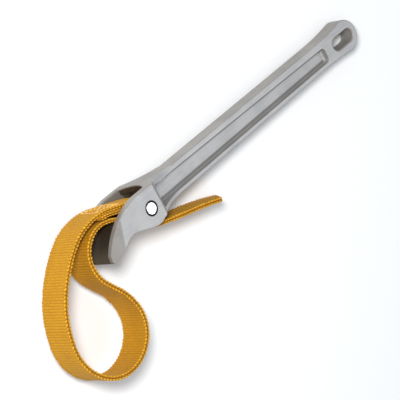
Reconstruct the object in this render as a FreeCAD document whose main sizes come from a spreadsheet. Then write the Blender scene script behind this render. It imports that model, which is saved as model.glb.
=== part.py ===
"""Strap wrench for oil filters and pipe: cast forked handle, cross pin and a webbing strap.

The tool lies on its side.  +X runs along the handle from the pin to the hanging slot, +Y is the
open side of the fork, where the strap goes in, and +Z is the upper cheek's outward normal.  The
origin is on the pin's axis, in the outer plane of the cheek that the tool rests on.
"""
import FreeCAD, Part
import os
from math import atan2, cos, degrees, radians, sin, sqrt
from FreeCAD import Placement, Rotation, Vector

doc = FreeCAD.newDocument("strap_wrench")
sheet = doc.addObject("Spreadsheet::Sheet", "Sizes")

# ---------------------------------------------------------------- driving dimensions, mm and deg
SIZES = {
    # fork and handle casting
    "head_width": 38.0,
    "fork_gap": 28.0,
    "boss_radius": 12.5,
    "fork_depth": 10.5,
    "fork_corner": 5.0,
    "mouth_level": 9.3,
    "mouth_side": 5.0,
    "mouth_bow": 9.8,
    "head_top": 14.2,
    "handle_thick": 14.0,
    "handle_end": 250.7,
    "end_radius": 12.4,
    "neck_radius": 45.0,
    "neck_end": 40.0,
    "web_thick": 4.0,
    "recess_start": 12.5,
    "recess_end": 213.5,
    "recess_corner": 3.0,
    "recess_near_corner": 2.0,
    "recess_foot": 1.8,
    "nose_drop": 3.2,
    "slot_length": 23.0,
    "slot_width": 9.8,
    "slot_centre": 234.3,
    "slot_round": 1.4,
    "rim_round": 1.2,
    # cross pin
    "pin_dia": 9.5,
    "pin_clearance": 0.06,
    "pin_chamfer": 0.7,
    "bore_sink_dia": 11.0,
    "bore_sink_depth": 0.8,
    # webbing strap
    "strap_width": 25.4,
    "strap_thick": 3.0,
    "eye_radius": 7.0,
    "eye_bend": 8.0,
    "eye_leave": 45.0,
    "strap_start_dir": 161.4,
    "lap_gap": 0.1,
    "lap_end": 43.0,
    "thread_dia": 0.9,
    "tip_cut": 33.0,
}

# The strap's centre line from the top of its sewn eye, round the work and back through the fork:
# each stretch is (name, length, turn to the left in degrees).
STRETCHES = [
    ("eye_run", 28.0, 0.0),
    ("top_bow", 41.5, 49.5),
    ("outer_bow", 33.0, 21.0),
    ("left_bow", 35.5, 27.5),
    ("low_left", 38.5, 61.5),
    ("low_turn", 36.0, 69.5),
    ("low_right", 32.5, 65.0),
    ("inner_bow", 21.5, 30.0),
    ("waist", 11.0, -3.0),
    ("waist_bow", 19.5, -45.5),
    ("crest_bow", 32.0, -89.0),
    ("crest_run", 9.5, -13.5),
    ("heel_bend", 7.0, -15.5),
    ("throat", 20.0, 0.0),
    ("exit_bend", 16.0, 25.5),
    ("tail", 30.0, 1.5),
    ("tail_droop", 42.0, -9.0),
]
for stretch, length, turn in STRETCHES:
    SIZES[stretch + "_len"] = length
    SIZES[stretch + "_turn"] = turn

for row, (alias, value) in enumerate(SIZES.items(), start=1):
    sheet.set("A%d" % row, alias)
    sheet.set("B%d" % row, str(value))
    sheet.setAlias("B%d" % row, alias)
doc.recompute()


def size(alias):
    """Value of one cell of the sheet."""
    return float(getattr(sheet, alias))


MID = size("head_width") / 2


# ---------------------------------------------------------------- helpers
def origin_plane(body, role):
    """One of a body's own origin planes, such as XY_Plane."""
    for feature in body.Origin.OriginFeatures:
        if feature.Role == role:
            return feature
    raise ValueError(role)


def new_body(label):
    """Body whose own XY plane is the tool's middle plane, between the two cheeks."""
    body = doc.addObject("PartDesign::Body", label)
    body.Label = label
    body.Placement = Placement(Vector(0, 0, MID), Rotation())
    body.setExpression("Placement.Base.z", "Sizes.head_width / 2")
    return body


def new_sketch(body, role, geometry, offset=Placement()):
    """Sketch of the given edges, on an origin plane of the body."""
    sketch = body.newObject("Sketcher::SketchObject", "Sketch")
    sketch.AttachmentSupport = (origin_plane(body, role), [""])
    sketch.MapMode = "FlatFace"
    sketch.AttachmentOffset = offset
    for edge in geometry:
        sketch.addGeometry(edge, False)
    doc.recompute()
    return sketch


def new_pad(body, sketch, length):
    """Pad, half to each side of its sketch, whose length is an expression."""
    pad = body.newObject("PartDesign::Pad", "Pad")
    pad.Profile = sketch
    pad.Midplane = True
    pad.setExpression("Length", length)
    body.Tip = pad
    doc.recompute()
    return pad


def cut(body, pocket):
    """Make a pocket the body's tip, and check that it takes something away."""
    before = body.Shape.Volume
    body.Tip = pocket
    doc.recompute()
    if not body.Shape.Volume < before - 1e-3:
        raise RuntimeError("a pocket in %s cuts nothing" % body.Label)


def new_pocket(body, sketch, length=None):
    """Pocket, half to each side of its sketch: of a given length, or through all."""
    pocket = body.newObject("PartDesign::Pocket", "Pocket")
    pocket.Profile = sketch
    pocket.Midplane = True
    if length:
        pocket.setExpression("Length", length)
    else:
        pocket.Type = "ThroughAll"
    cut(body, pocket)


def one_sided_pocket(body, sketch, along_normal, depth):
    """Pocket to one side of its sketch: along the sketch's normal, or against it."""
    pocket = body.newObject("PartDesign::Pocket", "Pocket")
    pocket.Profile = sketch
    pocket.Reversed = along_normal
    pocket.Length = depth
    cut(body, pocket)


def raised(level):
    """Offset of a sketch along its plane's normal."""
    return Placement(Vector(0, 0, level), Rotation())


def new_fillet(body, radius, chosen):
    """Fillet of the edges that chosen() accepts."""
    base = body.Tip
    names = ["Edge%d" % i for i, edge in enumerate(base.Shape.Edges, start=1) if chosen(edge)]
    fillet = body.newObject("PartDesign::Fillet", "Fillet")
    fillet.Base = (base, names)
    fillet.Radius = radius
    body.Tip = fillet
    doc.recompute()
    return fillet


def point(x, y):
    """Sketch point."""
    return Vector(x, y, 0)


def on_circle(centre, radius, angle):
    """Point of a circle, by its angle in degrees."""
    turn = radians(angle)
    return centre + Vector(radius * cos(turn), radius * sin(turn), 0)


class Outline:
    """Closed outline of lines and arcs, drawn from corner to corner."""

    def __init__(self, start):
        self.start = start
        self.here = start
        self.edges = []

    def line(self, end):
        self.edges.append(Part.LineSegment(self.here, end))
        self.here = end

    def arc(self, middle, end):
        self.edges.append(Part.Arc(self.here, middle, end))
        self.here = end

    def close(self):
        self.line(self.start)
        return self.edges


# ---------------------------------------------------------------- the strap's route
class Route:
    """Centre line of lines and arcs that follow each other with no corner."""

    def __init__(self, start, direction):
        self.parts = []
        self.start = start
        self.direction = radians(direction)
        self.length = 0.0

    def add(self, length, turn):
        """Go on by a length while turning left by an angle in degrees."""
        self.parts.append((self.length, length, self.start, self.direction, radians(turn)))
        self.start, self.direction = self.step(self.parts[-1], length)
        self.length += length

    @staticmethod
    def step(part, run):
        """Point and direction after a run along one stretch."""
        first, length, start, direction, turn = part
        bend = turn * run / length
        if abs(turn) < 1e-9:
            chord = run
        else:
            chord = 2 * length / turn * sin(bend / 2)
        heading = direction + bend / 2
        return start + Vector(chord * cos(heading), chord * sin(heading), 0), direction + bend

    def at(self, station):
        """Point and direction at a distance along the route."""
        for part in self.parts:
            if station <= part[0] + part[1] + 1e-9:
                return self.step(part, station - part[0])
        raise ValueError(station)

    def beside(self, station, offset):
        """Point to the left of the route, or to the right when offset is negative."""
        place, direction = self.at(station)
        return place + Vector(-sin(direction) * offset, cos(direction) * offset, 0)

    def ribbon(self, first, last, thick, offset=0.0):
        """Edges of a ribbon of even thickness along part of the route."""
        joints = [first]
        for part in self.parts:
            if first + 1e-6 < part[0] < last - 1e-6:
                joints.append(part[0])
        joints.append(last)
        left = offset + thick / 2
        right = offset - thick / 2
        outline = Outline(self.beside(first, right))
        for low, high in zip(joints, joints[1:]):
            self.draw_side(outline, low, high, right)
        outline.line(self.beside(last, left))
        for low, high in reversed(list(zip(joints, joints[1:]))):
            self.draw_side(outline, high, low, left)
        return outline.close()

    def draw_side(self, outline, low, high, offset):
        """Draw one stretch of a ribbon's side, beside one stretch of the route."""
        middle = (low + high) / 2
        if abs(self.at(low)[1] - self.at(high)[1]) < 1e-6:
            outline.line(self.beside(high, offset))
        else:
            outline.arc(self.beside(middle, offset), self.beside(high, offset))


eye = size("eye_radius")
start_dir = size("strap_start_dir")
strap = Route(on_circle(Vector(), eye, start_dir - 90), start_dir)
station = {}
for stretch, length, turn in STRETCHES:
    station[stretch] = strap.length
    strap.add(size(stretch + "_len"), size(stretch + "_turn"))
station["end"] = strap.length


# ---------------------------------------------------------------- handle casting
HANDLE_TOP = 11.1
HANDLE_LOW = -9.1
NECK_TOP = 10.9
NECK_LOW = -10.4
CHIN = point(19.0, -10.85)
FLARE_RADIUS = 190.0
END_CENTRE_Y = 1.2
BOSS_CENTRE = Vector(0.6, -0.3, 0)


def flare_start(level):
    """Where the straight edge at a level leaves for the flare, and the angle where it ends."""
    end = size("end_radius")
    rise = FLARE_RADIUS + abs(level - END_CENTRE_Y)
    back = sqrt((FLARE_RADIUS + end) ** 2 - rise ** 2)
    return size("handle_end") - end - back, degrees(atan2(rise, -back))


def casting_outline():
    """Side view of the whole casting: nose, heel, pin boss, handle and flared end."""
    end = size("end_radius")
    centre = point(size("handle_end") - end, END_CENTRE_Y)
    boss = size("boss_radius")
    neck = size("neck_end")
    top = size("head_top")
    top_start, top_angle = flare_start(HANDLE_TOP)
    low_start, low_angle = flare_start(HANDLE_LOW)

    outline = Outline(CHIN)
    outline.line(point(neck, NECK_LOW))
    outline.line(point(low_start, HANDLE_LOW))
    flare_centre = point(low_start, HANDLE_LOW - FLARE_RADIUS)
    half_way = (90 + 180 - low_angle) / 2
    outline.arc(on_circle(flare_centre, FLARE_RADIUS, half_way), on_circle(centre, end, -low_angle))
    outline.arc(on_circle(centre, end, 0), on_circle(centre, end, top_angle))
    flare_centre = point(top_start, HANDLE_TOP + FLARE_RADIUS)
    half_way = -(90 + 180 - top_angle) / 2
    outline.arc(on_circle(flare_centre, FLARE_RADIUS, half_way), point(top_start, HANDLE_TOP))
    outline.line(point(neck, NECK_TOP))
    outline.line(point(7.0, top))
    outline.line(point(-8.0, top))
    outline.arc(point(-29.6, 7.2), point(-46.7, -8.5))
    outline.line(point(-47.3, -12.2))
    outline.arc(point(-46.2, -14.7), point(-43.6, -14.9))
    outline.line(point(-28.5, -7.1))
    outline.arc(point(-24.4, -6.1), point(-19.5, -6.4))
    outline.line(on_circle(BOSS_CENTRE, boss, 251))
    outline.arc(on_circle(BOSS_CENTRE, boss, 275), on_circle(BOSS_CENTRE, boss, 300))
    return outline.close()


def fork_outline():
    """Opening between the cheeks, from the mouth round the heel block and out below the pin."""
    depth = size("fork_depth")
    rim = size("mouth_level")
    outline = Outline(point(size("mouth_side"), 30.0))
    outline.line(point(-70.0, 30.0))
    outline.line(point(-70.0, -30.0))
    outline.line(point(-45.6, -30.0))
    outline.line(point(-45.6, -11.0))
    outline.arc(point(-41.6, -3.6), point(-32.6, 4.4))
    outline.arc(point(-30.2, 6.2), point(-26.2, 5.6))
    channel_start = strap.beside(station["throat"], -CHANNEL)
    channel_end = strap.beside(station["exit_bend"], -CHANNEL)
    outline.line(channel_start)
    outline.line(channel_end + (channel_end - channel_start) * 1.5)
    outline.line(point(depth, -30.0))
    outline.line(point(depth, rim))
    outline.line(point(size("mouth_side"), rim))
    return outline.close()


def mouth_outline():
    """Bowed rim at the back of the fork's mouth, seen along Y."""
    side = size("mouth_side")
    half = size("fork_gap") / 2
    outline = Outline(point(side, half))
    outline.arc(point(size("mouth_bow"), 0), point(side, -half))
    outline.line(point(0, -half))
    outline.line(point(0, half))
    return outline.close()


def side_cut(sign):
    """What the casting loses beside the handle: above an arc that runs out of the cheek."""
    radius = size("neck_radius")
    neck = size("neck_end")
    flange = size("handle_thick") / 2
    far = MID + 6.0
    reach = sqrt(radius ** 2 - (radius + flange - far) ** 2)
    middle = sqrt(radius ** 2 - (radius + flange - (flange + far) / 2) ** 2)
    outline = Outline(point(neck, sign * flange))
    outline.arc(point(neck - middle, sign * (flange + far) / 2), point(neck - reach, sign * far))
    outline.line(point(size("handle_end") + 10.0, sign * far))
    outline.line(point(size("handle_end") + 10.0, sign * flange))
    return outline.close()


def recess_outline():
    """Tapered panel in each face of the handle, with rounded corners."""
    start = size("recess_start")
    end = size("recess_end")
    corner = size("recess_corner")
    near_corner = size("recess_near_corner")
    near_top, near_low = 10.3, -7.5
    spread_end = point(25.0, 7.4)
    far_top, far_low = 5.8, -5.7
    slant = corner * 0.3
    near_slant = near_corner * 0.3
    outline = Outline(point(start + near_corner, near_low))
    outline.line(point(end - corner, far_low))
    outline.arc(point(end - slant, far_low + slant), point(end, far_low + corner))
    outline.line(point(end, far_top - corner))
    outline.arc(point(end - slant, far_top - slant), point(end - corner, far_top))
    outline.line(spread_end)
    outline.line(point(start + near_corner, near_top))
    outline.arc(point(start + near_slant, near_top - near_slant), point(start, near_top - near_corner))
    outline.line(point(start, near_low + near_corner))
    outline.arc(point(start + near_slant, near_low + near_slant), point(start + near_corner, near_low))
    return outline.edges


def hang_slot():
    """Long hole with round ends, near the handle's end."""
    half = size("slot_width") / 2
    reach = size("slot_length") / 2 - half
    centre = point(size("slot_centre"), 0.6)
    along = point(reach, 0)
    up = point(0, half)
    outline = Outline(centre - along - up)
    outline.line(centre + along - up)
    outline.arc(centre + along + point(half, 0), centre + along + up)
    outline.line(centre - along + up)
    outline.arc(centre - along - point(half, 0), centre - along - up)
    return outline.edges


def ring(radius):
    """Full circle about the pin's axis."""
    return [Part.Circle(Vector(), Vector(0, 0, 1), radius)]


def nose_cut(sign):
    """Wedge that tapers a cheek's outer face towards the toe."""
    start = -27.0
    reach = 24.0
    outline = Outline(point(start, sign * MID))
    outline.line(point(start - reach, sign * (MID - size("nose_drop"))))
    outline.line(point(start - reach, sign * (MID + 5)))
    outline.line(point(start, sign * (MID + 5)))
    return outline.close()


# Distance from the strap's centre line to the heel block's sloping back.
CHANNEL = 2.1

casting = new_body("handle_casting")
new_pad(casting, new_sketch(casting, "XY_Plane", casting_outline()), "Sizes.head_width")
new_pocket(casting, new_sketch(casting, "XY_Plane", fork_outline()), "Sizes.fork_gap")
mouth = new_sketch(casting, "XZ_Plane", mouth_outline(), raised(-size("mouth_level")))
one_sided_pocket(casting, mouth, False, MID)
for side in (1, -1):
    new_pocket(casting, new_sketch(casting, "XZ_Plane", side_cut(side)))
    leaning = Placement(Vector(), Rotation(Vector(0, 1, 0), -21))
    new_pocket(casting, new_sketch(casting, "XZ_Plane", nose_cut(side), leaning))
new_pocket(casting, new_sketch(casting, "XY_Plane", hang_slot()))

bore = new_sketch(casting, "XY_Plane", ring((size("pin_dia") + size("pin_clearance")) / 2))
new_pocket(casting, bore)


web = size("web_thick") / 2
sink = MID - size("bore_sink_depth")
for side in (1, -1):
    panel = new_sketch(casting, "XY_Plane", recess_outline(), raised(side * web))
    one_sided_pocket(casting, panel, side > 0, MID)
    counterbore = ring(size("bore_sink_dia") / 2)
    sunk = new_sketch(casting, "XY_Plane", counterbore, raised(side * sink))
    one_sided_pocket(casting, sunk, side > 0, 5.0)


def flat_at(edge, level):
    """Whether an edge lies in the planes at plus or minus a level of the body."""
    box = edge.BoundBox
    return box.ZLength < 1e-4 and abs(abs(box.ZMin) - level) < 1e-3


def along_y(edge):
    """Whether an edge is a straight line along Y."""
    box = edge.BoundBox
    return box.XLength < 1e-4 and box.ZLength < 1e-4 and box.YLength > 1.0


def fork_corner_edge(edge):
    """The fork's two inner corners, where the cheeks leave the handle."""
    box = edge.BoundBox
    return along_y(edge) and abs(box.XMin - size("fork_depth")) < 1e-3


def recess_floor_edge(edge):
    """Foot of a recess's walls."""
    return flat_at(edge, web)


def slot_edge(edge):
    """Rim of the hanging slot."""
    box = edge.BoundBox
    reach = size("slot_length") / 2 + 0.01
    inside = abs(box.Center.x - size("slot_centre")) < reach and abs(box.Center.y - 0.6) < 6
    return flat_at(edge, size("handle_thick") / 2) and inside


def flange_edge(edge):
    """Long outer edges of the handle's flanges, which run on round its end."""
    box = edge.BoundBox
    outside = box.YMin > 9.0 or box.YMax < -9.0
    return flat_at(edge, size("handle_thick") / 2) and box.XLength > 160 and outside


def cheek_edge(edge):
    """Long edges of the cheeks' outer faces: along the top, and under the toe."""
    box = edge.BoundBox
    top = box.YMin > 9.0 and box.XMax < 7.1
    toe = box.XMin < -43.0 and box.XMax < -32.0 and box.YMax < -9.0
    outer = box.ZMin > MID - 1 or box.ZMax < 1 - MID
    return outer and (top or toe) and box.XLength > 5.0


new_fillet(casting, size("rim_round"), flange_edge)
new_fillet(casting, size("rim_round"), cheek_edge)
new_fillet(casting, size("fork_corner"), fork_corner_edge)
new_fillet(casting, size("recess_foot"), recess_floor_edge)
new_fillet(casting, size("slot_round"), slot_edge)


# ---------------------------------------------------------------- cross pin
def pin_half():
    """Half of the pin's lengthwise section, with chamfered ends."""
    radius = size("pin_dia") / 2
    chamfer = size("pin_chamfer")
    outline = Outline(point(0, -MID))
    outline.line(point(radius - chamfer, -MID))
    outline.line(point(radius, chamfer - MID))
    outline.line(point(radius, MID - chamfer))
    outline.line(point(radius - chamfer, MID))
    outline.line(point(0, MID))
    return outline.close()


pin = new_body("strap_pin")
pin_sketch = new_sketch(pin, "XZ_Plane", pin_half())
turned = pin.newObject("PartDesign::Revolution", "Revolution")
turned.Profile = pin_sketch
turned.ReferenceAxis = (pin_sketch, ["V_Axis"])
turned.Angle = 360.0
pin.Tip = turned
doc.recompute()


# ---------------------------------------------------------------- strap pieces
def strap_piece(label, first, last, offset=0.0):
    """Length of webbing between two stations of the strap's route."""
    body = new_body(label)
    edges = strap.ribbon(first, last, size("strap_thick"), offset)
    new_pad(body, new_sketch(body, "XY_Plane", edges), "Sizes.strap_width")
    return body


# The eye: the strap wraps the pin, leaves it at an angle and bends to lie under the upper ply.
leave = radians(size("eye_leave"))
bend = size("eye_bend")
drop = size("strap_thick") + size("lap_gap")
climb = ((eye - drop) + eye * cos(leave) - bend * (1 - cos(leave))) / sin(leave)
wrap = Route(on_circle(Vector(), eye, start_dir - 90), start_dir - 180)
wrap.add(eye * (radians(180) + leave), -(180 + size("eye_leave")))
wrap.add(climb, 0)
wrap.add(bend * leave, size("eye_leave"))
lap_start = (eye + climb + bend) * sin(leave)

# Where the strap is divided, and the gap that lets the loop draw tight at each place.
JOINTS = {46.0: 1.8, 101.0: 3.6, 156.0: 3.8, 211.0: 0.5, 266.0: 4.6, 322.0: 1.8}
cuts = sorted(JOINTS)


def before(cut):
    """Station where the piece on the near side of a cut ends."""
    return cut - JOINTS[cut] / 2


def after(cut):
    """Station where the piece on the far side of a cut begins."""
    return cut + JOINTS[cut] / 2


strap_eye = strap_piece("strap_eye", 0.0, before(cuts[0]))
wrap_edges = wrap.ribbon(0.0, wrap.length, size("strap_thick"))
new_pad(strap_eye, new_sketch(strap_eye, "XY_Plane", wrap_edges), "Sizes.strap_width")
lap_edges = strap.ribbon(lap_start, size("lap_end"), size("strap_thick"), drop)
new_pad(strap_eye, new_sketch(strap_eye, "XY_Plane", lap_edges), "Sizes.strap_width")

SPANS = ["strap_top", "strap_left", "strap_bottom_left", "strap_bottom_right", "strap_waist"]
pieces = [casting, pin, strap_eye]
for label, low, high in zip(SPANS, cuts, cuts[1:]):
    pieces.append(strap_piece(label, after(low), before(high)))
pieces.append(strap_piece("strap_return", after(cuts[-1]), 345.5))
pieces.append(strap_piece("strap_throat", 347.0, 375.0))
pieces.append(strap_piece("strap_tail", station["tail"], 414.0))

tail_end = strap_piece("strap_tail_end", 415.4, station["end"])
pieces.append(tail_end)
tip, tip_direction = strap.at(station["end"])
slope = sin(radians(size("tip_cut"))) / cos(radians(size("tip_cut")))
reach = size("strap_width") / 2
over = reach + 2.0
cut_line = Outline(point((over - reach) * slope, -over))
cut_line.line(point(-(over + reach) * slope, over))
cut_line.line(point(over, over))
cut_line.line(point(over, -over))
across_tip = Placement(Vector(tip.x, 0, -tip.y), Rotation(Vector(0, 1, 0), degrees(tip_direction)))
new_pocket(tail_end, new_sketch(tail_end, "XZ_Plane", cut_line.close(), across_tip))


# ---------------------------------------------------------------- stitching through both plies
def stitch(along, across):
    """One stitch, which stands a little proud of both plies."""
    proud = 0.35
    outer = size("strap_thick") / 2 + proud
    low = strap.beside(along, -outer)
    high = strap.beside(along, outer + drop)
    thread = doc.addObject("Part::Cylinder", "Stitch")
    thread.setExpression("Radius", "Sizes.thread_dia / 2")
    thread.Height = (high - low).Length
    upright = Rotation(Vector(0, 0, 1), high - low)
    thread.Placement = Placement(Vector(low.x, low.y, MID + across), upright)
    return thread


ROW_FIRST = 19.0
ROW_LAST = 39.0
ROW_SIDE = 9.0
ROW_STITCHES = 6
END_STITCHES = 3
threads = []
for i in range(ROW_STITCHES):
    along = ROW_FIRST + (ROW_LAST - ROW_FIRST) * i / (ROW_STITCHES - 1)
    for side in (1, -1):
        threads.append(stitch(along, side * ROW_SIDE))
for i in range(END_STITCHES):
    across = ROW_SIDE * (2 * (i + 1) / (END_STITCHES + 1) - 1)
    for along in (ROW_FIRST, ROW_LAST):
        threads.append(stitch(along, across))
stitching = doc.addObject("Part::Compound", "lap_stitching")
stitching.Label = "lap_stitching"
stitching.Links = threads
pieces.append(stitching)
doc.recompute()

# ---------------------------------------------------------------- checks, then one file a piece
for item in doc.Objects:
    if "Invalid" in item.State or "Error" in item.State:
        raise RuntimeError("%s is not valid: %s" % (item.Name, item.State))
for piece in pieces:
    if piece.Shape.isNull() or not piece.Shape.isValid():
        raise RuntimeError("%s has no valid shape" % piece.Label)
os.makedirs("parts", exist_ok=True)
for piece in pieces:
    piece.Shape.exportStep("parts/%s.step" % piece.Label)
    print("%-20s %10.1f mm3" % (piece.Label, piece.Shape.Volume))
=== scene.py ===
"""Looks of the strap wrench: cast metal, a polished pin and heavy woven webbing.

Everything is in metres, in the row frame: X along the handle, Y the fork's open side, Z along the
pin.  The webbing is one band; it is divided where one body of the strap hands over to the next.
"""
import random
from math import atan2, cos, pi, radians, sin

import bmesh
import bpy
import numpy as np
from mathutils import Matrix, Vector


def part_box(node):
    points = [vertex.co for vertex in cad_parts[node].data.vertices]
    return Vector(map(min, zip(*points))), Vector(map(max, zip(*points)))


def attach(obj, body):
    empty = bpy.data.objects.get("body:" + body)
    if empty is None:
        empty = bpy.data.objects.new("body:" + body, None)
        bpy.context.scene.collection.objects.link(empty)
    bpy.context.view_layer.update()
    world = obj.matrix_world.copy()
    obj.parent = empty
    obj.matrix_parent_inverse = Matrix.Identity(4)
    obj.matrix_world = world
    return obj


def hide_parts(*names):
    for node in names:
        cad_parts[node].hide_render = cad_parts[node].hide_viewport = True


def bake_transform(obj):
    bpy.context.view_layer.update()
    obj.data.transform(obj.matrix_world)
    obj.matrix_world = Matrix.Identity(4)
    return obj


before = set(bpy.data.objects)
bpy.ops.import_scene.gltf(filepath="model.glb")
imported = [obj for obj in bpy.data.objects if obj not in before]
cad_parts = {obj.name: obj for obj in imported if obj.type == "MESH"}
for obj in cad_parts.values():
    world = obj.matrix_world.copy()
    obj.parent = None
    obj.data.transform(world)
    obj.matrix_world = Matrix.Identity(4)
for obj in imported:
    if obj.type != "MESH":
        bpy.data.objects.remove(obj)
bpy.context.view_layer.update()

MM = 0.001
PIN_LOW, PIN_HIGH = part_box("strap_pin")
_, CASTING_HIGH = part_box("handle_casting")
MIDDLE = (PIN_LOW.z + PIN_HIGH.z) / 2
HALF_HEAD = (PIN_HIGH.z - PIN_LOW.z) / 2


# ---------------------------------------------------------------- the strap's route
EYE_RADIUS = 7.0 * MM
EYE_BEND = 8.0 * MM
EYE_LEAVE = radians(45.0)
START_DIRECTION = radians(161.4)
PLY_STEP = 3.1 * MM
LAP_END = 43.0 * MM

# Each stretch of the centre line, from the top of the eye: length in mm, turn to the left in
# degrees.  The CAD lays its strap along the same line.
STRETCHES = [
    (28.0, 0.0),
    (41.5, 49.5),
    (33.0, 21.0),
    (35.5, 27.5),
    (38.5, 61.5),
    (36.0, 69.5),
    (32.5, 65.0),
    (21.5, 30.0),
    (11.0, -3.0),
    (19.5, -45.5),
    (32.0, -89.0),
    (9.5, -13.5),
    (7.0, -15.5),
    (20.0, 0.0),
    (16.0, 25.5),
    (30.0, 1.5),
    (42.0, -9.0),
]


class Route:
    """Centre line of lines and arcs that follow each other with no corner."""

    def __init__(self, start, direction):
        self.parts = []
        self.start = start
        self.direction = direction
        self.length = 0.0

    def add(self, length, turn):
        part = (self.length, length, self.start, self.direction, turn)
        self.parts.append(part)
        self.start, self.direction = self.step(part, length)
        self.length += length

    @staticmethod
    def step(part, run):
        first, length, start, direction, turn = part
        bend = turn * run / length
        chord = run if abs(turn) < 1e-9 else 2 * length / turn * sin(bend / 2)
        heading = direction + bend / 2
        return start + chord * np.array([cos(heading), sin(heading)]), direction + bend

    def at(self, station):
        """Point and direction at a distance along the route."""
        for part in self.parts:
            if station <= part[0] + part[1]:
                break
        return self.step(part, station - part[0])


def eye_start():
    """Top of the eye, where the strap's outer run begins."""
    turn = START_DIRECTION - pi / 2
    return EYE_RADIUS * np.array([cos(turn), sin(turn)])


def main_route():
    route = Route(eye_start(), START_DIRECTION)
    for length, turn in STRETCHES:
        route.add(length * MM, radians(turn))
    return route


def wrap_route():
    """Round the pin from the top of the eye, then out under the upper ply."""
    route = Route(eye_start(), START_DIRECTION - pi)
    climb = EYE_RADIUS - PLY_STEP + EYE_RADIUS * cos(EYE_LEAVE) - EYE_BEND * (1 - cos(EYE_LEAVE))
    route.add(EYE_RADIUS * (pi + EYE_LEAVE), -pi - EYE_LEAVE)
    route.add(climb / sin(EYE_LEAVE), 0.0)
    route.add(EYE_BEND * EYE_LEAVE, EYE_LEAVE)
    return route


strap = main_route()
wrap = wrap_route()
LAP_START = (EYE_RADIUS + wrap.parts[1][1] + EYE_BEND) * sin(EYE_LEAVE)
LAP_FREE_END = -(wrap.length + LAP_END - LAP_START)
STRAP_END = strap.length


def place(station):
    """Centre and left-hand normal of the band, in the XY plane.

    Stations below zero run back round the pin, and then along the lower ply to its end.
    """
    if station >= 0:
        point, direction = strap.at(station)
    elif station >= -wrap.length:
        point, direction = wrap.at(-station)
        direction += pi
    else:
        point, direction = strap.at(LAP_START - wrap.length - station)
        point = point + PLY_STEP * np.array([-sin(direction), cos(direction)])
        direction += pi
    return point, np.array([-sin(direction), cos(direction)])


def spot(station):
    """Centre of the band at a station, as a point in the row frame."""
    point, _ = place(station)
    return Vector((point[0], point[1], MIDDLE))


# ---------------------------------------------------------------- materials
class Shader:
    """A material's node tree, with short calls for the nodes that this scene uses."""

    def __init__(self, name):
        self.material = bpy.data.materials.new(name)
        self.material.use_nodes = True
        self.tree = self.material.node_tree
        self.surface = self.tree.nodes["Principled BSDF"]

    def put(self, socket, value):
        """Link a node's output to a socket, or set the socket's own value."""
        if isinstance(value, bpy.types.NodeSocket):
            self.tree.links.new(value, socket)
        else:
            socket.default_value = value

    def settings(self, **values):
        """Set or link the surface's own sockets, named with underscores for spaces."""
        for name, value in values.items():
            self.put(self.surface.inputs[name.replace("_", " ")], value)

    def maths(self, operation, first, second=0.0):
        node = self.tree.nodes.new("ShaderNodeMath")
        node.operation = operation
        self.put(node.inputs[0], first)
        self.put(node.inputs[1], second)
        return node.outputs[0]

    def product(self, first, *others):
        for other in others:
            first = self.maths("MULTIPLY", first, other)
        return first

    def highest(self, first, *others):
        for other in others:
            first = self.maths("MAXIMUM", first, other)
        return first

    def away_from(self, value, centre):
        """Distance of a value from a centre value."""
        return self.maths("ABSOLUTE", self.maths("SUBTRACT", value, centre))

    def radius(self, first, second):
        """Distance from the axis that two coordinates are measured from."""
        squares = self.maths("ADD", self.product(first, first), self.product(second, second))
        return self.maths("SQRT", squares)

    def ramp(self, value, low, high, start=0.0, end=1.0):
        """Smooth step of a value from low to high, mapped onto start to end."""
        node = self.tree.nodes.new("ShaderNodeMapRange")
        node.interpolation_type = "SMOOTHSTEP"
        for name, given in zip(("Value", "From Min", "From Max", "To Min", "To Max"),
                               (value, low, high, start, end)):
            self.put(node.inputs[name], given)
        return node.outputs["Result"]

    def noise(self, where, scale, detail=2.0, roughness=0.5):
        node = self.tree.nodes.new("ShaderNodeTexNoise")
        self.put(node.inputs["Vector"], where)
        self.put(node.inputs["Scale"], scale)
        self.put(node.inputs["Detail"], detail)
        self.put(node.inputs["Roughness"], roughness)
        return node.outputs["Fac"]

    def mix(self, share, first, second):
        node = self.tree.nodes.new("ShaderNodeMix")
        node.data_type = "RGBA"
        self.put(node.inputs["Factor"], share)
        self.put(node.inputs["A"], first)
        self.put(node.inputs["B"], second)
        return node.outputs["Result"]

    def position(self):
        """Position in the row frame."""
        return self.tree.nodes.new("ShaderNodeTexCoord").outputs["Object"]

    def parts(self, where):
        """The three coordinates of a position."""
        split = self.tree.nodes.new("ShaderNodeSeparateXYZ")
        self.put(split.inputs[0], where)
        return split.outputs[0], split.outputs[1], split.outputs[2]

    def stretched(self, where, scales):
        """Position with each axis scaled, for grain that runs one way."""
        node = self.tree.nodes.new("ShaderNodeMapping")
        self.put(node.inputs["Vector"], where)
        self.put(node.inputs["Scale"], scales)
        return node.outputs["Vector"]

    def attribute(self, name):
        node = self.tree.nodes.new("ShaderNodeAttribute")
        node.attribute_name = name
        return node.outputs["Fac"]

    def vector(self, first, second):
        """Two values as a place in a plane."""
        node = self.tree.nodes.new("ShaderNodeCombineXYZ")
        self.put(node.inputs[0], first)
        self.put(node.inputs[1], second)
        return node.outputs[0]

    def bump(self, height, distance, strength=1.0, under=None):
        node = self.tree.nodes.new("ShaderNodeBump")
        self.put(node.inputs["Height"], height)
        self.put(node.inputs["Distance"], distance)
        self.put(node.inputs["Strength"], strength)
        if under is not None:
            self.put(node.inputs["Normal"], under)
        return node.outputs["Normal"]


def rgb(red, green, blue):
    return (red, green, blue, 1.0)


# Heights on the casting from its middle plane, and places along X and Y.
FLANGE = 7.0 * MM
RECESS_FLOOR = 2.2 * MM
FORK_INSIDE = 14.3 * MM
NECK_START = 12.0 * MM
NECK_END = 40.0 * MM
RECESS_END = 217.0 * MM
RECESS_SIDES = (-8.8 * MM, 10.7 * MM)

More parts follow.
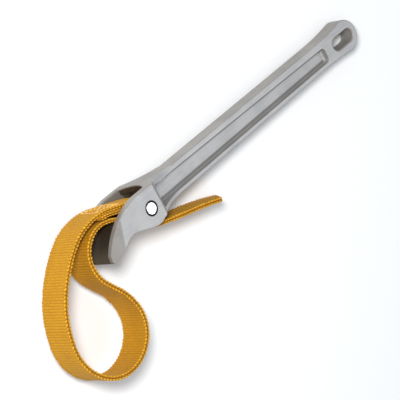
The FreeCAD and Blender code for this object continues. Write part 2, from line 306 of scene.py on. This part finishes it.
# The arc that leads from the flanges out to the cheeks.
NECK_RADIUS = 45.0 * MM
NECK_CENTRE = NECK_RADIUS + FLANGE

# Half the width of the recess at X = 0, and how much narrower a half gets for each length along X.
RECESS_HALF = 7.65 * MM
RECESS_TAPER = 0.0088

# Radius of the sunk rim of the pin's bore, painted dark as shade round the pin.
BORE_RIM = 5.4 * MM


def flat_masks(m, x, y, from_middle):
    """Masks of all linished flats (cheeks, flanges, neck, recess floor) and of that floor alone."""
    cheek = m.ramp(from_middle, HALF_HEAD - 0.22 * MM, HALF_HEAD - 0.10 * MM)
    above = m.ramp(from_middle, FLANGE - 0.20 * MM, FLANGE - 0.05 * MM)
    flange = m.product(above, m.ramp(from_middle, FLANGE + 0.35 * MM, FLANGE + 0.12 * MM))

    run = m.maths("SUBTRACT", NECK_END, x)
    fall = m.maths("SUBTRACT", NECK_CENTRE, from_middle)
    off_neck = m.away_from(m.radius(run, fall), NECK_RADIUS)
    neck = m.product(m.ramp(off_neck, 0.3 * MM, 0.15 * MM),
                     m.ramp(x, NECK_START, NECK_START + 2 * MM),
                     m.ramp(x, NECK_END + 2 * MM, NECK_END))

    low, high = RECESS_SIDES
    within = m.product(m.ramp(y, low, low + 0.5 * MM), m.ramp(y, high, high - 0.3 * MM),
                       m.ramp(x, RECESS_END, RECESS_END - 1 * MM))
    floor = m.product(m.ramp(from_middle, RECESS_FLOOR + 0.8 * MM, RECESS_FLOOR), within)
    return m.highest(cheek, flange, neck, floor), floor


def cast_metal():
    """Sand casting: linished flats, duller as-cast sides and walls, painted shade in corners and the
    fork.
    """
    m = Shader("cast_metal")
    where = m.position()
    x, y, z = m.parts(where)
    from_middle = m.away_from(z, MIDDLE)
    flat, recess_floor = flat_masks(m, x, y, from_middle)

    half_recess = m.maths("SUBTRACT", RECESS_HALF, m.maths("MULTIPLY", x, RECESS_TAPER))
    from_wall = m.maths("SUBTRACT", half_recess, m.maths("ABSOLUTE", y))
    # Painted shade along the foot of the recess walls, on the recess floor.
    corner = m.product(m.ramp(from_wall, 3.1 * MM, 1.9 * MM), recess_floor)
    # Painted shade deep inside the fork.
    below_rim = m.product(m.ramp(x, 13.0 * MM, 10.6 * MM), m.ramp(y, 13.6 * MM, 12.6 * MM))
    in_fork = m.product(m.ramp(from_middle, FORK_INSIDE, FORK_INSIDE - 0.7 * MM), below_rim)
    bore_rim_shade = m.ramp(m.radius(x, y), BORE_RIM + 0.35 * MM, BORE_RIM)

    patches = m.noise(where, 55.0, 3.0)
    grain = m.noise(where, 1500.0, 3.0, 0.6)
    scratches = m.noise(m.stretched(where, (60.0, 900.0, 900.0)), 1.0, 2.0)
    cloudy = m.ramp(patches, 0.3, 0.7)
    as_cast = m.mix(cloudy, rgb(0.306, 0.288, 0.266), rgb(0.366, 0.346, 0.322))
    as_cast = m.mix(m.ramp(grain, 0.35, 0.65, 0.0, 0.35), as_cast, rgb(0.240, 0.226, 0.210))
    linished = m.mix(cloudy, rgb(0.414, 0.415, 0.422), rgb(0.474, 0.473, 0.470))
    linished = m.mix(m.ramp(scratches, 0.45, 0.75, 0.0, 0.5), linished, rgb(0.552, 0.552, 0.552))
    colour = m.mix(flat, as_cast, linished)
    # Painted shade along the foot of the recess walls.
    colour = m.mix(m.maths("MULTIPLY", corner, 0.75), colour, rgb(0.12, 0.115, 0.112))
    # Painted shade inside the fork, darkest towards +Y.
    fork_shade = m.mix(m.ramp(y, -1.0 * MM, -13.0 * MM),
                  rgb(0.045, 0.033, 0.019), rgb(0.125, 0.105, 0.078))
    colour = m.mix(in_fork, colour, fork_shade)
    # Painted shade in the ring round the pin.
    colour = m.mix(bore_rim_shade, colour, rgb(0.02, 0.02, 0.022))

    rough = m.maths("ADD", m.ramp(grain, 0.3, 0.7, 0.34, 0.44),
                    m.ramp(scratches, 0.35, 0.7, 0.0, 0.07))
    rough = m.maths("ADD", rough, m.maths("MULTIPLY", m.maths("SUBTRACT", 1.0, flat), 0.14))
    skin = m.bump(m.noise(where, 420.0, 2.0), 0.12 * MM, 0.5)
    m.settings(Base_Color=colour, Metallic=0.4, Roughness=rough,
               Normal=m.bump(grain, 0.05 * MM, 0.7, skin))
    return m.material


PIN_FACE = 4.05 * MM
TOOL_RING = 0.35 * MM


def polished_pin():
    """Turned steel pin: bright ends with faint tool rings and scuffs, a rougher chamfer painted dark
    as shade.
    """
    m = Shader("polished_pin")
    where = m.position()
    x, y, _ = m.parts(where)
    radius = m.radius(x, y)
    rings = m.maths("SINE", m.maths("MULTIPLY", radius, 2 * pi / TOOL_RING))
    scuffs = m.noise(where, 700.0, 4.0, 0.6)
    colour = m.mix(m.ramp(scuffs, 0.45, 0.75), rgb(0.93, 0.93, 0.94), rgb(0.80, 0.80, 0.82))
    # Painted shade on the chamfer round each end.
    rim = m.ramp(radius, PIN_FACE, PIN_FACE + 0.12 * MM)
    colour = m.mix(rim, colour, rgb(0.05, 0.05, 0.055))
    rough = m.maths("MAXIMUM", m.ramp(scuffs, 0.3, 0.8, 0.16, 0.34), m.maths("MULTIPLY", rim, 0.5))
    m.settings(Base_Color=colour, Metallic=1.0, Roughness=rough,
               Normal=m.bump(rings, 0.004 * MM, 0.5))
    return m.material


RIB = 1.9 * MM
YARN = 1.0 * MM


def woven_webbing():
    """Heavy webbing: yarns across each rib, fine filaments, painted shade in creases and grooves."""
    m = Shader("woven_webbing")
    along = m.attribute("along")
    across = m.attribute("across")
    edge = m.attribute("edge")
    groove_shade = m.attribute("groove_shade")
    rib = m.maths("ABSOLUTE", m.maths("SINE", m.maths("MULTIPLY", along, pi / RIB)))
    row = m.maths("FLOOR", m.maths("DIVIDE", along, RIB))
    shifted = m.maths("ADD", across, m.maths("MULTIPLY", row, 0.5 * YARN))
    yarn = m.maths("ABSOLUTE", m.maths("SINE", m.maths("MULTIPLY", shifted, pi / YARN)))
    lean = m.maths("ADD", along, m.maths("MULTIPLY", across, 0.35))
    strands = m.vector(m.maths("MULTIPLY", lean, 900.0), m.maths("MULTIPLY", across, 7000.0))
    filament = m.noise(strands, 1.0, 2.0, 0.6)
    slow = m.vector(m.maths("MULTIPLY", along, 45.0), m.maths("MULTIPLY", across, 90.0))
    patches = m.noise(slow, 1.0, 3.0)
    cell = m.vector(m.maths("DIVIDE", along, RIB), m.maths("DIVIDE", across, YARN))
    each_yarn = m.noise(cell, 1.0, 1.0)

    golden = m.mix(m.ramp(patches, 0.3, 0.7), rgb(0.462, 0.201, 0.003), rgb(0.518, 0.238, 0.005))
    golden = m.mix(m.ramp(each_yarn, 0.35, 0.65, 0.0, 0.7), golden, rgb(0.574, 0.298, 0.012))
    # Painted highlight: the edges are lighter and more orange.
    golden = m.mix(m.maths("MULTIPLY", edge, 0.75), golden, rgb(0.86, 0.435, 0.026))
    # Painted shade in the creases between ribs, between yarns, and deep in the edges' grooves.
    face_only = m.maths("SUBTRACT", 0.55, m.maths("MULTIPLY", edge, 0.55))
    crease_shade = m.product(m.ramp(rib, 0.45, 0.0), face_only)
    between = m.product(m.ramp(yarn, 0.4, 0.0), 0.40)
    colour = m.mix(m.highest(crease_shade, between, groove_shade), golden, rgb(0.16, 0.050, 0.002))
    height = m.maths("ADD", m.maths("MULTIPLY", yarn, 0.6), m.maths("MULTIPLY", filament, 0.5))
    m.settings(Base_Color=colour, Roughness=m.ramp(filament, 0.3, 0.7, 0.58, 0.78),
               Normal=m.bump(height, 0.16 * MM, 0.9))
    m.settings(Sheen_Weight=0.03, Sheen_Roughness=0.4, Specular_IOR_Level=0.15)
    return m.material


def sealed_end():
    """Cut face of the webbing, where its yarns are melted together."""
    m = Shader("sealed_end")
    beads = m.noise(m.position(), 1400.0, 3.0, 0.6)
    colour = m.mix(m.ramp(beads, 0.35, 0.65), rgb(0.30, 0.11, 0.012), rgb(0.80, 0.45, 0.09))
    m.settings(Base_Color=colour, Roughness=m.ramp(beads, 0.3, 0.7, 0.3, 0.65),
               Normal=m.bump(beads, 0.35 * MM))
    return m.material


def sewing_thread():
    """Twisted thread, a little lighter than the webbing."""
    m = Shader("sewing_thread")
    fibres = m.noise(m.position(), 6000.0, 2.0, 0.6)
    colour = m.mix(m.ramp(fibres, 0.35, 0.65), rgb(0.72, 0.37, 0.05), rgb(0.95, 0.66, 0.20))
    m.settings(Base_Color=colour, Roughness=m.ramp(fibres, 0.3, 0.7, 0.45, 0.65),
               Normal=m.bump(fibres, 0.04 * MM), Sheen_Weight=0.2)
    return m.material


def floor_paper():
    """Matt white sweep with a barely visible tooth."""
    m = Shader("floor_paper")
    tooth = m.noise(m.position(), 900.0, 2.0)
    m.settings(Base_Color=rgb(0.90, 0.90, 0.90), Roughness=m.ramp(tooth, 0.3, 0.7, 0.85, 0.95),
               Specular_IOR_Level=0.1)
    return m.material


WEBBING = woven_webbing()
SEALED = sealed_end()
THREAD = sewing_thread()


def dress_casting():
    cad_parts["handle_casting"].data.materials[0] = cast_metal()
    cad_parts["strap_pin"].data.materials[0] = polished_pin()


# ---------------------------------------------------------------- webbing
FACE_HALF = 11.7 * MM
THIN = 1.26 * MM
RIB_RISE = 0.28 * MM
SHOULDER_DROP = 0.14 * MM
EDGE_BULGE = 0.72 * MM
LOOP = 2.6 * MM
LOOP_RISE = 1.0 * MM
EDGE_GROOVE = 0.75 * MM
FACE_POINTS = 17
EDGE_POINTS = 11
RINGS_PER_RIB = 8

# The band is single from the end of the lap to the heel, and again beyond the fork.  It changes
# over between the two stations of each pair.
SINGLE_FROM = (40 * MM, 60 * MM)
SINGLE_TO = (312 * MM, 330 * MM)
SINGLE_AGAIN = (382 * MM, 392 * MM)

# The loop sways between these stations, and comes to rest over the last part at each end.
SWAY_FIRST = 50 * MM
SWAY_LAST = 322 * MM
SWAY_FADE = 30 * MM
SWAY_WAVES = (47 * MM, 83 * MM, 131 * MM)


def smooth(value, low, high):
    """Smooth step from 0 at low to 1 at high."""
    share = np.clip((value - low) / (high - low), 0, 1)
    return share * share * (3 - 2 * share)


def rib_wave(station):
    """Rounded rib, 0 in the valley and 1 on the crest."""
    return np.abs(np.sin(pi * station / RIB)) ** 0.8


def loop_wave(station, shift, seed):
    """Knitted loops along an edge, 0 between two loops, each a little different from the next."""
    turn = station / LOOP + shift
    odd = np.sin(np.floor(turn) * 12.9898 + seed) * 43758.5453
    own = odd - np.floor(odd)
    return np.abs(np.sin(pi * turn)) ** 0.7 * (0.62 + 0.38 * own)


def freedom(station):
    """1 where the band is single and free, less where plies press on each other."""
    loop = smooth(station, *SINGLE_FROM) * (1 - smooth(station, *SINGLE_TO))
    return loop + smooth(station, *SINGLE_AGAIN)


def sway(station, size, seed):
    """Slow unevenness of the loop, none where the head holds it."""
    total = sum(np.sin(2 * pi * station / wave + seed * (i + 1.7))
                for i, wave in enumerate(SWAY_WAVES))
    free = np.clip((station - SWAY_FIRST) / SWAY_FADE, 0, 1)
    free = free * np.clip((SWAY_LAST - station) / SWAY_FADE, 0, 1)
    return size * total / 3 * free


def section(stations):
    """Outline of the band at each station, one row a station.

    The outline's points have a distance z from the band's middle, a distance n from its centre
    plane and a distance across, measured round it.  Two masks say where it is an edge, and where
    it is deep in a groove, which the webbing paints as shade.
    """
    s = stations[:, None]
    rib = rib_wave(s)
    face = np.linspace(-1, 1, FACE_POINTS)[None, :]
    near_edge = np.clip((np.abs(face) - 0.8) / 0.2, 0, 1)
    thick = THIN + RIB_RISE * rib - near_edge * SHOULDER_DROP * (1 - rib)
    heights = FACE_HALF * face + 0 * s

    angle = np.linspace(pi / 2, -pi / 2, EDGE_POINTS)[None, 1:-1]
    slant = 0.28 * angle
    loops = np.where(angle > 0, loop_wave(s, slant, 1.0), loop_wave(s, 0.5 + slant, 2.0))
    middle = np.exp(-(angle / 0.28) ** 2)
    reach = (EDGE_BULGE + LOOP_RISE * loops) * np.cos(angle) ** 0.6 - EDGE_GROOVE * middle
    swell = 0.86 + (0.25 + 0.4 * freedom(s)) * loops
    side = (THIN + 0.5 * RIB_RISE) * np.sin(angle) * swell
    edge_run = FACE_HALF + THIN * (pi / 2 - angle) + 0 * s
    # How deep each edge point lies in a groove: the webbing paints it as shade.
    sunk = np.clip(0.9 * middle + (1 - loops) ** 1.5, 0, 1)

    z = np.hstack([heights, FACE_HALF + reach, heights[:, ::-1], -FACE_HALF - reach[:, ::-1]])
    n = np.hstack([thick, side, -thick[:, ::-1], side[:, ::-1]])
    across = np.hstack([heights, edge_run, heights[:, ::-1], -edge_run[:, ::-1]])
    flat = 0 * heights
    on_edge = np.hstack([flat, 1 + 0 * reach, flat, 1 + 0 * reach])
    groove_shade = np.hstack([flat, sunk, flat, sunk[:, ::-1]])
    return z, n, across, on_edge, groove_shade


def taper(stations, n):
    """Thin the end of the lower ply down onto the upper one."""
    k = (0.35 + 0.65 * smooth(stations, LAP_FREE_END, LAP_FREE_END + 5 * MM))[:, None]
    return n * k + (1 - k) * THIN


def skin_faces(rings, count):
    """Quads between one ring of points and the next, then a cap on each end."""
    faces = []
    for i in range(rings - 1):
        for j in range(count):
            k = (j + 1) % count
            faces.append((i * count + j, i * count + k, (i + 1) * count + k, (i + 1) * count + j))
    faces.append(tuple(reversed(range(count))))
    faces.append(tuple(range((rings - 1) * count, rings * count)))
    return faces


def band_mesh(name, first, last):
    """Closed length of webbing between two stations."""
    ribs = (last - first) / RIB
    stations = np.linspace(first, last, int(round(ribs * RINGS_PER_RIB)) + 1)
    z, n, across, on_edge, groove_shade = section(stations)
    n = taper(stations, n)
    places = [place(station) for station in stations]
    centre = np.array([point for point, _ in places])
    normal = np.array([left for _, left in places])
    z = z + sway(stations, 0.35 * MM, 1.0)[:, None]
    n = n + sway(stations, 0.12 * MM, 2.0)[:, None]
    x = centre[:, :1] + n * normal[:, :1]
    y = centre[:, 1:] + n * normal[:, 1:]
    points = np.stack([x, y, MIDDLE + z], axis=-1)

    rings, count = z.shape
    faces = skin_faces(rings, count)
    mesh = bpy.data.meshes.new(name)
    mesh.from_pydata(points.reshape(-1, 3).tolist(), [], faces)
    for label, values in (("along", np.repeat(stations, count)), ("across", across.ravel()),
                          ("edge", on_edge.ravel()), ("groove_shade", groove_shade.ravel())):
        attribute = mesh.attributes.new(label, "FLOAT", "POINT")
        attribute.data.foreach_set("value", values.astype(np.float32))
    mesh.polygons.foreach_set("use_smooth", [True] * (len(faces) - 2) + [False, False])
    return mesh


def turn_faces_out(mesh):
    shape = bmesh.new()
    shape.from_mesh(mesh)
    bmesh.ops.recalc_face_normals(shape, faces=shape.faces)
    shape.to_mesh(mesh)
    shape.free()


def as_piece(name, mesh, materials):
    for material in materials:
        mesh.materials.append(material)
    piece = bpy.data.objects.new(name, mesh)
    bpy.context.scene.collection.objects.link(piece)
    return piece


TIP_CUT = radians(33.0)
TIP_TRIM = 0.6 * MM
BAND_HALF = 12.7 * MM


def cut_tip(mesh):
    """Oblique cut across the free end, with a cap of its own material."""
    point, left = place(STRAP_END)
    ahead = Vector((left[1], -left[0], 0))
    longest = Vector((point[0], point[1], MIDDLE - BAND_HALF))
    outward = ahead * cos(TIP_CUT) + Vector((0, 0, 1)) * sin(TIP_CUT)
    shape = bmesh.new()
    shape.from_mesh(mesh)
    everything = shape.verts[:] + shape.edges[:] + shape.faces[:]
    cut = bmesh.ops.bisect_plane(shape, geom=everything, plane_co=longest - ahead * TIP_TRIM,
                                 plane_no=outward, clear_outer=True)
    rim = [item for item in cut["geom_cut"] if isinstance(item, bmesh.types.BMEdge)]
    filled = bmesh.ops.contextual_create(shape, geom=rim)
    for face in filled["faces"]:
        face.material_index = 1
        face.smooth = False
    shape.to_mesh(mesh)
    shape.free()
    return longest, ahead


# Where one band ends and the next begins: between two ribs, so that the seam doesn't show.
SEAMS = [count * RIB for count in (39, 67, 111, 155, 176, 191, 210)]

# Half of the hairline between the two bands at the loop's foot.
FOOT_GAP = 0.03 * MM

# Name, first and last station, the two bodies, the stations in metres where one body starts to
# hand over to the other and where it ends, and the CAD nodes that the band stands for.  The tail
# comes last.
BANDS = [
    ("strap_band_eye", LAP_FREE_END, SEAMS[0],
     "strap_eye", "strap_top", 0.036, 0.060, ("strap_eye", "strap_top")),
    ("strap_band_left", SEAMS[0], SEAMS[1],
     "strap_top", "strap_left", 0.086, 0.116, ("strap_left",)),
    ("strap_band_low_left", SEAMS[1], SEAMS[2] - FOOT_GAP,
     "strap_left", "strap_bottom_left", 0.142, 0.170, ("strap_bottom_left",)),
    ("strap_band_low_right", SEAMS[2] + FOOT_GAP, SEAMS[3],
     "strap_bottom_right", "strap_waist", 0.252, 0.280, ("strap_bottom_right",)),
    ("strap_band_waist", SEAMS[3], SEAMS[4],
     "strap_waist", "strap_eye", 0.308, 0.333, ("strap_waist",)),
    ("strap_band_throat", SEAMS[4], SEAMS[5],
     "strap_eye", "handle", 0.336, 0.361, ("strap_return", "strap_throat")),
    ("strap_band_exit", SEAMS[5], SEAMS[6],
     "handle", "strap_tail", 0.3635, 0.397, ("strap_tail",)),
    ("strap_band_tail", SEAMS[6], STRAP_END,
     "strap_tail", "strap_tail_end", 0.406, 0.424, ("strap_tail_end",)),
]


def make_band(name, first, last, body, next_body, bend_first, bend_last, nodes):
    """Make one band.  Returns the tip's longest point and direction, or None if it has no tip."""
    mesh = band_mesh(name, first, last)
    turn_faces_out(mesh)
    piece = as_piece(name, mesh, (WEBBING, SEALED))
    tip = cut_tip(mesh) if last == STRAP_END else None
    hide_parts(*nodes)
    spot(bend_first)
    spot(bend_last)
    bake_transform(piece)
    return tip


# ---------------------------------------------------------------- loose yarns at the tip
def tube(shape, path, radii, sides):
    """Closed tube along a path of points, added to a bmesh."""
    rings = []
    for i, point in enumerate(path):
        before = path[max(i - 1, 0)]
        after = path[min(i + 1, len(path) - 1)]
        turn = (after - before).to_track_quat("Z", "Y")
        ring = []
        for k in range(sides):
            angle = 2 * pi * k / sides
            spoke = turn @ Vector((cos(angle), sin(angle), 0)) * radii[i]
            ring.append(shape.verts.new(point + spoke))
        rings.append(ring)
    for low, high in zip(rings, rings[1:]):
        for k in range(sides):
            face = shape.faces.new((low[k], low[(k + 1) % sides], high[(k + 1) % sides], high[k]))
            face.smooth = True
    shape.faces.new(list(reversed(rings[0])))
    shape.faces.new(rings[-1])


FRAY_COUNT = 46
FRAY_RADIUS = 0.13 * MM
FRAY_ROOT = 0.8 * MM
FRAY_SIDE = 1.1 * MM
FRAY_LENGTH = (0.5 * MM, 1.7 * MM)
FRAY_STEPS = (0.0, 0.35, 0.7, 1.0)


def make_fray(longest, ahead):
    """Short yarn ends that stand out of the cut, from its longest point on."""
    random.seed(11)
    radii = [FRAY_RADIUS * share for share in (1.0, 1.0, 0.8, 0.4)]
    _, left = place(STRAP_END)
    side = Vector((left[0], left[1], 0))
    down_cut = Vector((0, 0, 1)) * cos(TIP_CUT) - ahead * sin(TIP_CUT)
    shape = bmesh.new()
    for i in range(FRAY_COUNT):
        along_cut = (0.04 + 0.92 * (i + random.uniform(-0.4, 0.4)) / FRAY_COUNT) * 2 * BAND_HALF
        root = longest - ahead * FRAY_ROOT + down_cut * (along_cut / cos(TIP_CUT))
        root += side * random.uniform(-FRAY_SIDE, FRAY_SIDE)
        length = random.uniform(*FRAY_LENGTH)
        lean = side * random.uniform(-0.5, 0.5) + Vector((0, 0, random.uniform(-0.35, 0.35)))
        path = [root + (ahead + lean * t * 1.2) * length * t for t in FRAY_STEPS]
        tube(shape, path, radii, 6)
    mesh = bpy.data.meshes.new("strap_tip_fray")
    shape.to_mesh(mesh)
    shape.free()
    piece = as_piece("strap_tip_fray", mesh, (THREAD,))
    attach(piece, "strap_tail_end")


# ---------------------------------------------------------------- stitching of the eye
ROW_FIRST = 19.0 * MM
ROW_LAST = 39.0 * MM
ROW_SIDE = 9.0 * MM
STITCH = 2.9 * MM
STITCH_SHARE = 0.84
STITCH_ARCH = 0.42 * MM
STITCH_SUNK = 0.34 * MM
STITCH_STEPS = 8
THREAD_RADIUS = 0.38 * MM
SURFACE = THIN + 0.7 * RIB_RISE


def stitch_rows():
    """The box and its two diagonals, as pairs of (station, height) corners."""
    a = (ROW_FIRST, -ROW_SIDE)
    b = (ROW_LAST, -ROW_SIDE)
    c = (ROW_LAST, ROW_SIDE)
    d = (ROW_FIRST, ROW_SIDE)
    return [(a, b), (b, c), (c, d), (d, a), (a, c), (b, d)]


def stitch_path(row, first, share, offset, outward):
    """Arched path of one stitch, from a share of its row's length and over another share."""
    (s0, z0), (s1, z1) = row
    path = []
    for i in range(STITCH_STEPS + 1):
        t = i / STITCH_STEPS
        along_row = first + share * t
        point, left = place(s0 + (s1 - s0) * along_row)
        point = point + (offset + outward * (STITCH_ARCH * sin(pi * t) - STITCH_SUNK)) * left
        path.append(Vector((point[0], point[1], MIDDLE + z0 + (z1 - z0) * along_row)))
    return path


def make_stitching():
    """Lock stitches on the outer face of the upper ply and the inner face of the lower one."""
    shape = bmesh.new()
    radii = [THREAD_RADIUS * (0.75 + 0.25 * sin(pi * i / STITCH_STEPS))
             for i in range(STITCH_STEPS + 1)]
    for offset, outward in ((-SURFACE, -1), (PLY_STEP + SURFACE, 1)):
        for row in stitch_rows():
            (s0, z0), (s1, z1) = row
            length = ((s1 - s0) ** 2 + (z1 - z0) ** 2) ** 0.5
            count = max(2, round(length / STITCH))
            for i in range(count):
                first = (i + (1 - STITCH_SHARE) / 2) / count
                tube(shape, stitch_path(row, first, STITCH_SHARE / count, offset, outward), radii, 10)
    mesh = bpy.data.meshes.new("eye_stitching")
    shape.to_mesh(mesh)
    shape.free()
    piece = as_piece("eye_stitching", mesh, (THREAD,))
    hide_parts("lap_stitching")
    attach(piece, "strap_eye")


# ---------------------------------------------------------------- camera, floor and light
VIEW_LEAN = radians(40.0)
VIEW_TURN = radians(28.56)
VIEW_ROLL = radians(5.0)
VIEW_DISTANCE = 1.5
VIEW_LENS = 198.5
AIM_RIGHT = 32.84 * MM
AIM_UP = 5.71 * MM


def make_camera():
    """Long lens, looking down on the upper cheek from beyond the nose."""
    flat = Vector((cos(VIEW_TURN), -sin(VIEW_TURN), 0))
    over = Vector((sin(VIEW_TURN), cos(VIEW_TURN), 0))
    up = Vector((0, 0, 1))
    back = up * cos(VIEW_LEAN) - flat * sin(VIEW_LEAN)
    level = up * sin(VIEW_LEAN) + flat * cos(VIEW_LEAN)
    right = level * cos(VIEW_ROLL) - over * sin(VIEW_ROLL)
    top = level * sin(VIEW_ROLL) + over * cos(VIEW_ROLL)
    target = Vector((0, 0, PIN_HIGH.z)) + right * AIM_RIGHT + top * AIM_UP
    data = bpy.data.cameras.new("camera")
    data.lens = VIEW_LENS
    camera = bpy.data.objects.new("camera", data)
    bpy.context.scene.collection.objects.link(camera)
    turn = Matrix((right, top, back)).transposed().to_4x4()
    camera.matrix_world = Matrix.Translation(target + back * VIEW_DISTANCE) @ turn
    bpy.context.scene.camera = camera


HANDLE_UNDERSIDE = 12.0 * MM
CHEEK_REST = 9.4 * MM
FLOOR_BELOW = 0.1 * MM
FLOOR_HALF = 3.0


def make_floor():
    """White surface that the lower cheek and the handle's end rest on."""
    slope = atan2(HANDLE_UNDERSIDE, CASTING_HIGH.x - CHEEK_REST)
    shape = bmesh.new()
    bmesh.ops.create_grid(shape, x_segments=1, y_segments=1, size=FLOOR_HALF)
    mesh = bpy.data.meshes.new("floor")
    shape.to_mesh(mesh)
    shape.free()
    floor = as_piece("floor", mesh, (floor_paper(),))
    hinge = Matrix.Translation((CHEEK_REST, 0, -FLOOR_BELOW))
    floor.matrix_world = hinge @ Matrix.Rotation(-slope, 4, "Y")


TOOL_CENTRE = Vector((0.05, -0.01, 0.02))


def area_light(name, offset, size, power):
    """Round lamp that faces the middle of the tool from an offset."""
    data = bpy.data.lights.new(name, "AREA")
    data.shape = "DISK"
    data.size = size
    data.energy = power
    light = bpy.data.objects.new(name, data)
    bpy.context.scene.collection.objects.link(light)
    light.location = TOOL_CENTRE + offset
    light.rotation_mode = "QUATERNION"
    light.rotation_quaternion = offset.to_track_quat("Z", "Y")


def make_light():
    """Key lamp beside the camera, a small lamp that the pin's end mirrors, and a pale room."""
    area_light("key", Vector((-0.68, 0.54, 0.92)), size=0.28, power=14.4)
    area_light("sheen", Vector((0.67, -0.37, 0.92)), size=0.25, power=0.5)
    world = bpy.data.worlds.new("studio")
    world.use_nodes = True
    room = world.node_tree.nodes["Background"]
    room.inputs["Color"].default_value = rgb(0.92, 0.96, 1.0)
    room.inputs["Strength"].default_value = 0.60
    bpy.context.scene.world = world


make_camera()
make_floor()
make_light()
dress_casting()
for band in BANDS:
    tip = make_band(*band)
make_fray(*tip)
make_stitching()

bpy.context.scene.view_settings.view_transform = "Standard"
